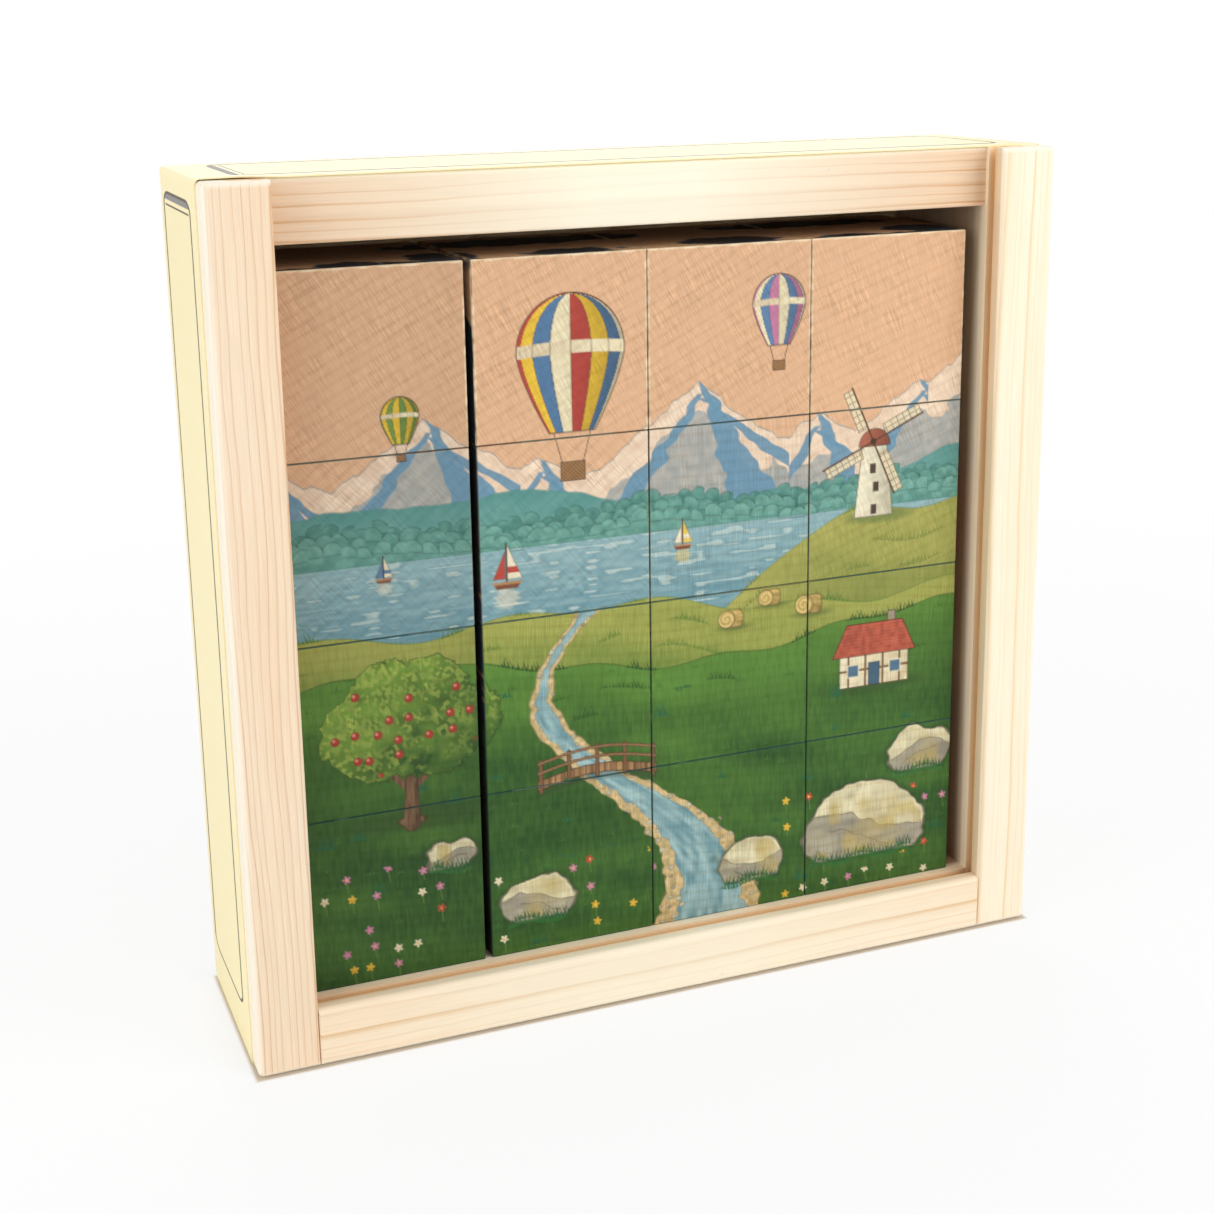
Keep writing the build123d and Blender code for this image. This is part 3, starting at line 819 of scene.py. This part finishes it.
def paint_dusk(p):
    """A dark lake under a tan evening sky."""
    x, y = p.x, p.y
    paint_sky(p, "#C0906A", "#DDB088", 2)
    cloud = abs(y - 158 - 5 * np.sin(x * 0.05 + 3)) - 7 * mottle(x, 0, 16, 3) + 3
    p.lay(cloud, "#3B3A48", 1.2, 0.8)
    paint_ridge(p, 147 + 5 * np.sin(x * 0.11 + 1), "#0E1420", "#1B2632", 14, 113)
    paint_lake(p, 92, 50, "#1F3147", "#101A2C", "#A98A68")
    paint_wood_edge(p, 94 + np.sin(x * 0.1), 90, ("#0F1E22", "#25413F", "#0A1416"), 114)
    paint_field(p, 56 + 6 * np.sin(x * 0.04), "#24402C", "#101F18", 115)
    for cx, ground, size in ((22, 40, 34), (44, 34, 24), (130, 42, 30), (148, 30, 38)):
        p.put(size + 4, paint_spruce_tree, cx, ground, size, "#0E1D1C", "#2C4B3F")


def paint_autumn(p):
    """Orange woods above a stubble field."""
    x, y = p.x, p.y
    paint_sky(p, "#E3C79A", "#B9C3C0", 3)
    paint_ridge(p, 116 + 6 * np.sin(x * 0.04), "#8B7F7A", "#C9B08B", 16, 121)
    for height, seed in ((100, 122), (92, 123), (84, 124)):
        crest = height + 3 * np.sin(x * 0.06 + seed)
        paint_wood_edge(p, crest, 60, ("#8A3E1E", "#D9912F", "#5A2814"), seed)
    paint_field(p, 78 + 3 * np.sin(x * 0.05 + 2), "#C9A455", "#7A5A2C", 125)
    for cx, cy, size in ((40, 50, 7), (84, 40, 8.5), (126, 54, 6)):
        p.put(size * 4, paint_bale, cx, cy, size)
    paint_tufts(p, y - 30, 6, "#A98545", "#5A4420", 126)


def paint_winter(p):
    """Snowy hills, dark spruces and a cottage with lit windows."""
    x, y = p.x, p.y
    paint_sky(p, "#C2CCD2", "#7E97AB", 4)
    paint_ridge(p, 110 + 8 * np.sin(x * 0.045 + 1), "#8FA5B5", "#E8ECEA", 18, 132)
    paint_field(p, 88 + 5 * np.sin(x * 0.05), "#EEF1EE", "#9FB4C6", 133)
    for cx, ground, size in ((24, 76, 30), (44, 70, 22), (112, 78, 26), (140, 66, 36)):
        p.put(size + 4, paint_spruce_tree, cx, ground, size, "#1F3B38", "#5E7F74")
    p.put(36, paint_cottage, 80, 52, 24, True)
    paint_field(p, 46 + 4 * np.sin(x * 0.06 + 3), "#F3F4F0", "#8FA8BF", 134)
    dx, dy, pick = scatter(x, y, 6, 131)
    p.lay(np.hypot(dx, dy) - 0.4 - 0.5 * pick, "#F5F6F3", 0.4)


def paint_harbour(p):
    """Sailing boats off a wooden jetty, with dark cliffs behind."""
    x = p.x
    paint_sky(p, "#DCB289", "#CFA57E", 5)
    cliff = 112.6 + 16 * mottle(x, 0, 13, 141) + 3 * mottle(x, 0, 4, 143)
    paint_ridge(p, cliff, "#10161C", "#25445A", 40, 142)
    for cx, cy, rx, ry in CLOUDS:
        p.put(rx + 4, paint_cloud, cx, cy, 1, rx, ry)
    paint_lake(p, 92, -2, "#6FA3AE", "#1F5873", "#CFE2DC")
    for boat in HARBOUR_BOATS:
        p.put(boat[2] * 11, paint_boat, *boat)
    p.put(52, paint_footbridge, 44, 18, 1, 44)


def paint_garden(p):
    """Big garden flowers on dark leaves."""
    colours = ("#B9443A", "#E9DEC0", "#C9658F", "#D8B13A", "#5B6FA9")
    paint_sky(p, "#1D3A1C", "#2F5A2B", 6)
    paint_tufts(p, -99, 14, "#4C7A34", "#16300F", 151)
    for cell, size, seed in ((17, 6.2, 152), (21, 4.6, 153), (13, 3.2, 154)):
        paint_flowers(p, -99, cell, size, colours, seed)


# ---- modelling

def deselect():
    """Nothing stays selected, so that the next operator acts on the new shape alone."""
    if bpy.context.object and bpy.context.object.mode == "EDIT":
        bpy.ops.object.mode_set(mode="OBJECT")
    bpy.ops.object.select_all(action="DESELECT")


def block(name, low, high):
    """A box from corner to corner, with its place and size in its mesh."""
    deselect()
    bpy.ops.mesh.primitive_cube_add(size=1, location=(low + high) / 2, scale=high - low)
    made = bpy.context.object
    made.name = made.data.name = name
    bpy.ops.object.transform_apply(location=True, rotation=True, scale=True)
    return made


def pick(thing, kind, test):
    """In edit mode, selects the faces or edges that pass a test, and nothing else."""
    bpy.ops.object.mode_set(mode="EDIT")
    bpy.ops.mesh.select_mode(type=kind)
    bpy.ops.mesh.select_all(action="DESELECT")
    bpy.ops.object.mode_set(mode="OBJECT")
    for item in thing.data.polygons if kind == "FACE" else thing.data.edges:
        item.select = test(item)
    bpy.ops.object.mode_set(mode="EDIT")


def printed_block(name, low, high):
    """A cube with softly broken edges, cut fine enough to carry the pictures."""
    made = block(name, low, high)
    bpy.ops.object.mode_set(mode="EDIT")
    bpy.ops.mesh.select_all(action="SELECT")
    bpy.ops.mesh.subdivide(number_cuts=PRINT_CUTS)
    bpy.ops.mesh.select_mode(type="EDGE")
    bpy.ops.mesh.select_all(action="DESELECT")
    bpy.ops.mesh.edges_select_sharp(sharpness=math.radians(60))
    bpy.ops.mesh.bevel(offset=CUBE_EDGE * MM, segments=2, affect="EDGES", clamp_overlap=False)
    pick(made, "FACE", lambda face: face.normal.y < -0.99)
    bpy.ops.mesh.subdivide(number_cuts=FRONT_CUTS)
    bpy.ops.object.mode_set(mode="OBJECT")
    bpy.ops.object.shade_smooth_by_angle(angle=math.radians(50))
    return made


CUBES = [(row, column) for row in range(1, ROWS + 1) for column in range(1, ROWS + 1)]

# Each face of a cube: its axis and side, where a point of it lies on the print, and the picture.
# The faces that are painted last own the edges.
FACES = (
    (2, 1, lambda x, y, z: (x, y), paint_harbour),
    (0, -1, lambda x, y, z: (CUBE - y, z), paint_dusk),
    (0, 1, lambda x, y, z: (y, z), paint_autumn),
    (1, 1, lambda x, y, z: (CUBE - x, z), paint_winter),
    (2, -1, lambda x, y, z: (x, CUBE - y), paint_garden),
    (1, -1, lambda x, y, z: (x, z), paint_summer),
)

# The streaks' angle on the six boards, and which board each cube was sawn from, row by row.
SLANTS = (-30, -27, -41, -22, -2, 3)
GRAIN = ((0, 1, 0, 3), (2, 2, 4, 3), (4, 5, 4, 5), (5, 4, 5, 4))

# How far the ink is rubbed off the top and side edges, row by row: most in the pale top row.
RUBBED = (0.9, 0.1, 0, 0)


def ink_on_cubes(spot):
    """Ink for each cube and mesh point: colour times cover, and cover.

    A spot is in mm from the cube's lowest corner.
    """
    out = spot - CUBE / 2
    ground = np.array(linear("#123F2B")[:3])
    ink = np.ones((len(CUBES), len(spot), 4))
    ink[:, :, :3] = ground
    for axis, side, flat, paint in FACES:
        depth = CUBE / 2 - out[:, axis] * side
        on = np.flatnonzero(depth < CUBE_EDGE / 2)
        u, v = flat(*spot[on].T)
        picture = Print(np.concatenate([(c - 1) * CUBE + u for r, c in CUBES]),
                        np.concatenate([(ROWS - r) * CUBE + v for r, c in CUBES]))
        paint(picture)
        # A rounded edge is mostly dark ground ink, and the worn rim of a face shows the wood.
        share = np.where(depth[on] > 0.01, 0.3, 1)[:, None]
        ink[:, on, :3] = picture.colour.reshape(len(CUBES), -1, 3) * share + ground * (1 - share)
        rim = np.minimum(np.minimum(u, CUBE - u), CUBE - v) - CUBE_EDGE
        rubbed = np.repeat([RUBBED[r - 1] for r, c in CUBES], len(on))
        rubbed = np.clip(rubbed * mottle(picture.x, picture.y, 2.1, 201), 0, 0.85)
        worn = (1 - np.tile(np.clip(rim / RIM_WEAR, 0, 1), len(CUBES))) * rubbed
        ink[:, on, 3] = (0.985 * (1 - worn)).reshape(len(CUBES), -1)
    pale_lip = (out[:, 2] > CUBE / 2 - CUBE_EDGE) & (out[:, 1] < CUBE_EDGE - CUBE / 2)
    ink[:ROWS, pale_lip] = linear("#F3DDB8")
    # The first column's cubes are darker, and no two other cubes are quite alike.
    tones = np.array([0.83 if c == 1 else 0.98 + 0.04 * chance(r, c, 5) for r, c in CUBES])
    ink[:, :, :3] *= ink[:, :, 3:] * tones[:, None, None]
    return ink


def picture_cubes():
    """All sixteen cubes, each with its share of six pictures."""
    low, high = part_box("cube_r1c1")
    master = printed_block("printed_cube_r1c1", low, high)
    points = np.zeros(len(master.data.vertices) * 3, np.float32)
    master.data.vertices.foreach_get("co", points)
    inks = ink_on_cubes((points.reshape(-1, 3).astype(float) - np.array(low)) / MM)
    boards = [printed_beech(f"printed_beech_{i + 1}", slant, i) for i, slant in enumerate(SLANTS)]
    for (r, c), ink in zip(CUBES, inks):
        node = f"cube_r{r}c{c}"
        cube = master
        if node != "cube_r1c1":
            cube = master.copy()
            cube.data = master.data.copy()
            cube.name = cube.data.name = "printed_" + node
            bpy.context.collection.objects.link(cube)
            cube.data.transform(Matrix.Translation(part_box(node)[0] - low))
        layers = cube.data.attributes
        layer = layers.get("print") or layers.new("print", "FLOAT_COLOR", "POINT")
        layer.data.foreach_set("color", ink.astype(np.float32).ravel())
        finish_with(cube, boards[GRAIN[r - 1][c - 1]])
        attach(cube, node)
        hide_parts(node)


def paper_band():
    """The pasted band: one strip folded round the four outer sides, lifting at one corner."""
    def is_fold(edge):
        return len({round(band.data.vertices[i].co.y, 3) for i in edge.vertices}) == 2

    names = ("label_left", "label_right", "label_top", "label_bottom")
    lows, highs = zip(*map(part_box, names))
    low, high = Vector(tuple(map(min, *lows))), Vector(tuple(map(max, *highs)))
    band = block("paper_band", low, high)
    pick(band, "FACE", lambda face: abs(face.normal.y) > 0.9)
    bpy.ops.mesh.delete(type="ONLY_FACE")
    pick(band, "EDGE", is_fold)
    bpy.ops.mesh.bevel(offset=PAPER_FOLD * MM, segments=4, affect="EDGES")
    pick(band, "EDGE", lambda edge: True)
    bpy.ops.mesh.subdivide(number_cuts=23)
    # The paste has let go at the front of the upper left fold, and the paper stands up a little.
    bpy.ops.object.mode_set(mode="OBJECT")
    for point in band.data.vertices:
        along, back = ((point.co - low) / MM).xy
        if point.co.z > high.z - 0.5 * MM:
            deep, wide = max(0, 1 - back / LOOSE), max(0, 1 - abs(along - LOOSE_AT) / LOOSE)
            point.co.z += PAPER_LIFT * MM * deep * wide
    wall = band.modifiers.new("paper", "SOLIDIFY")
    wall.thickness, wall.offset, wall.use_even_offset = (PAPER - PAPER_GAP) * MM, -1, True
    deselect()
    band.select_set(True)
    bpy.context.view_layer.objects.active = band
    bpy.ops.object.modifier_apply(modifier="paper")
    bpy.ops.object.shade_smooth_by_angle(angle=math.radians(40))
    finish_with(band, printed_paper(low, high))
    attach(band, "box")
    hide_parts(*names)


def wooden_box():
    """The box's own parts keep their shape and get their woods."""
    flat = (0, math.radians(90), 0)
    left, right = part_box("left_stile")[1].x / MM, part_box("right_stile")[0].x / MM
    low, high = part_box("bottom_rail")[1].z / MM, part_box("top_rail")[0].z / MM
    front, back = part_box("bottom_rail")[0].y / MM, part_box("back_panel")[0].y / MM

    def groove(x0, x1, z0, z1):
        return (x0, front + 2.5, z0), (x1, front + 8, z1)

    def inside(depth):
        return (left - 6.1, front + depth, low - 6.1), (right + 6.1, back + 9, high + 6.1)

    # Painted shade browns the wood over 1.5 mm about the groove, darkens it over 5.5 mm towards the
    # panel, and dulls the right stile's lip.
    ends, sides = (low - 9, high + 40), (left - 9, right + 9)
    lip = (right - 0.5, front + 0.7, ends[0]), (right + 0.5, front + 3.9, ends[1])
    woods = {
        "left_stile": spruce(
            "spruce_left_stile", (-240, 90, 0), 1.3, ("#F9E4CA", "#F7DBBA", "#D9A97A"),
            groove(left - 9, left + 0.5, *ends), inside(6.7), seed=1),
        "right_stile": spruce(
            "spruce_right_stile", (210, -60, 0), 2, ("#FEF2DA", "#FCEBCE", "#F4D8AE"),
            groove(right - 0.5, right + 9, *ends), inside(6.7), seed=2, lip=lip),
        "bottom_rail": spruce(
            "spruce_bottom_rail", (-150, 60, 0), 2.9, ("#FDEBD2", "#FBE2C2", "#EAC699"),
            groove(*sides, low - 9, low + 0.5), inside(9), (-75, 80, 60, 0.5), flat, 3),
        "top_rail": spruce(
            "spruce_top_rail", (330, 60, 0), 2.2, ("#EED0B0", "#ECC8A4", "#DAA46E"),
            groove(*sides, low - 9, low), inside(6.7), (-85, 80, 70, 0.85), flat, 4),
        "back_panel": poplar_plywood(),
        "corner_dowels": turned_beech(),
        "panel_pins": drawn_steel(),
    }
    for node, wood in woods.items():
        finish_with(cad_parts[node], wood)


# ---- light, floor and camera

def soft_box(name, place, size, power):
    """A square lamp that looks at the middle of the box."""
    light = bpy.data.lights.new(name, "AREA")
    light.shape, light.size, light.energy = "SQUARE", size, power
    made = bpy.data.objects.new(name, light)
    bpy.context.scene.collection.objects.link(made)
    made.location = place
    made.rotation_euler = (Vector((0, 0, 0.1)) - made.location).to_track_quat("-Z", "Y").to_euler()


def studio():
    """White tent: an even sky, four soft boxes and a white floor."""
    world = bpy.data.worlds.new("white_tent")
    bpy.context.scene.world = world
    world.use_nodes = True
    add = partial(add_node, world.node_tree)
    path = add("LightPath").outputs
    seen = add("Math MAXIMUM", [path["Is Camera Ray"], path["Is Glossy Ray"]])
    seen = add("Math MAXIMUM", [seen, path["Is Transmission Ray"]])
    level = add("MapRange", [seen, 0, 1, 0.36, 1])
    feed(world.node_tree.nodes["Background"], {"Color": "#FFFFFF", "Strength": level})

    deselect()
    bpy.ops.mesh.primitive_plane_add(size=8, location=(0, 0, 0))
    floor = bpy.context.object
    floor.name = floor.data.name = "studio_floor"
    # White vinyl glows a little further out and less close to the box, where a warm painted contact
    # shadow lies on it.
    made, add, shader, spot = start("white_vinyl", Roughness=0.6)
    far = add("MapRange", [add("VectorMath LENGTH", [spot]), 100, 500, 0.8, 1])
    low, high = (Vector((corner.x, corner.y, 0)) / MM for corner in CAD_BOX)
    for reach, share in ((8, -0.15), (0.9, -0.5)):
        skirt = Vector((reach, reach, 9))
        near = within(add, spot, low - skirt, high + skirt, reach)
        far = add("Math MULTIPLY_ADD", [near, share, far])
    # Painted contact shadow: the floor turns brown within a millimetre of the box.
    feed(shader, {"Base Color": add("Mix", [near, "#F4F6F7", "#C9B594"])})
    seen = add("Math MULTIPLY", [add("LightPath").outputs["Is Camera Ray"], far])
    glow = add("Emission", {"Color": "#FFFFFF", "Strength": 1})
    out = next(n for n in made.node_tree.nodes if n.type == "OUTPUT_MATERIAL")
    feed(out, {"Surface": add("MixShader", [seen, shader, glow])})
    finish_with(floor, made)

    soft_box("soft_box_right", (0.50, -0.62, 0.50), 0.6, 4.2)
    soft_box("soft_box_left", (-0.95, -0.30, 0.45), 0.9, 5.2)
    soft_box("soft_box_top", (-0.10, 0.10, 1.30), 1, 2.9)
    soft_box("soft_box_back", (0.30, 1.10, 0.60), 0.9, 3)


def photographer():
    """The camera stands a little to the left and looks slightly down."""
    lens = bpy.data.cameras.new("camera")
    lens.sensor_width, lens.lens, lens.shift_y = 36, 56.1, -0.0933
    camera = bpy.data.objects.new("camera", lens)
    bpy.context.scene.collection.objects.link(camera)
    heading, tilt, roll = (math.radians(a) for a in (-21.4, 13.978, -0.87))
    turn = Matrix.Rotation(heading, 4, "Z") @ Matrix.Rotation(math.pi / 2 - tilt, 4, "X")
    camera.matrix_world = (Matrix.Translation((-0.15957, -0.39593, 0.22166)) @ turn
                           @ Matrix.Rotation(roll, 4, "Z"))
    bpy.context.scene.camera = camera
    bpy.context.scene.view_settings.view_transform = "Standard"


wooden_box()
paper_band()
picture_cubes()
studio()
photographer()
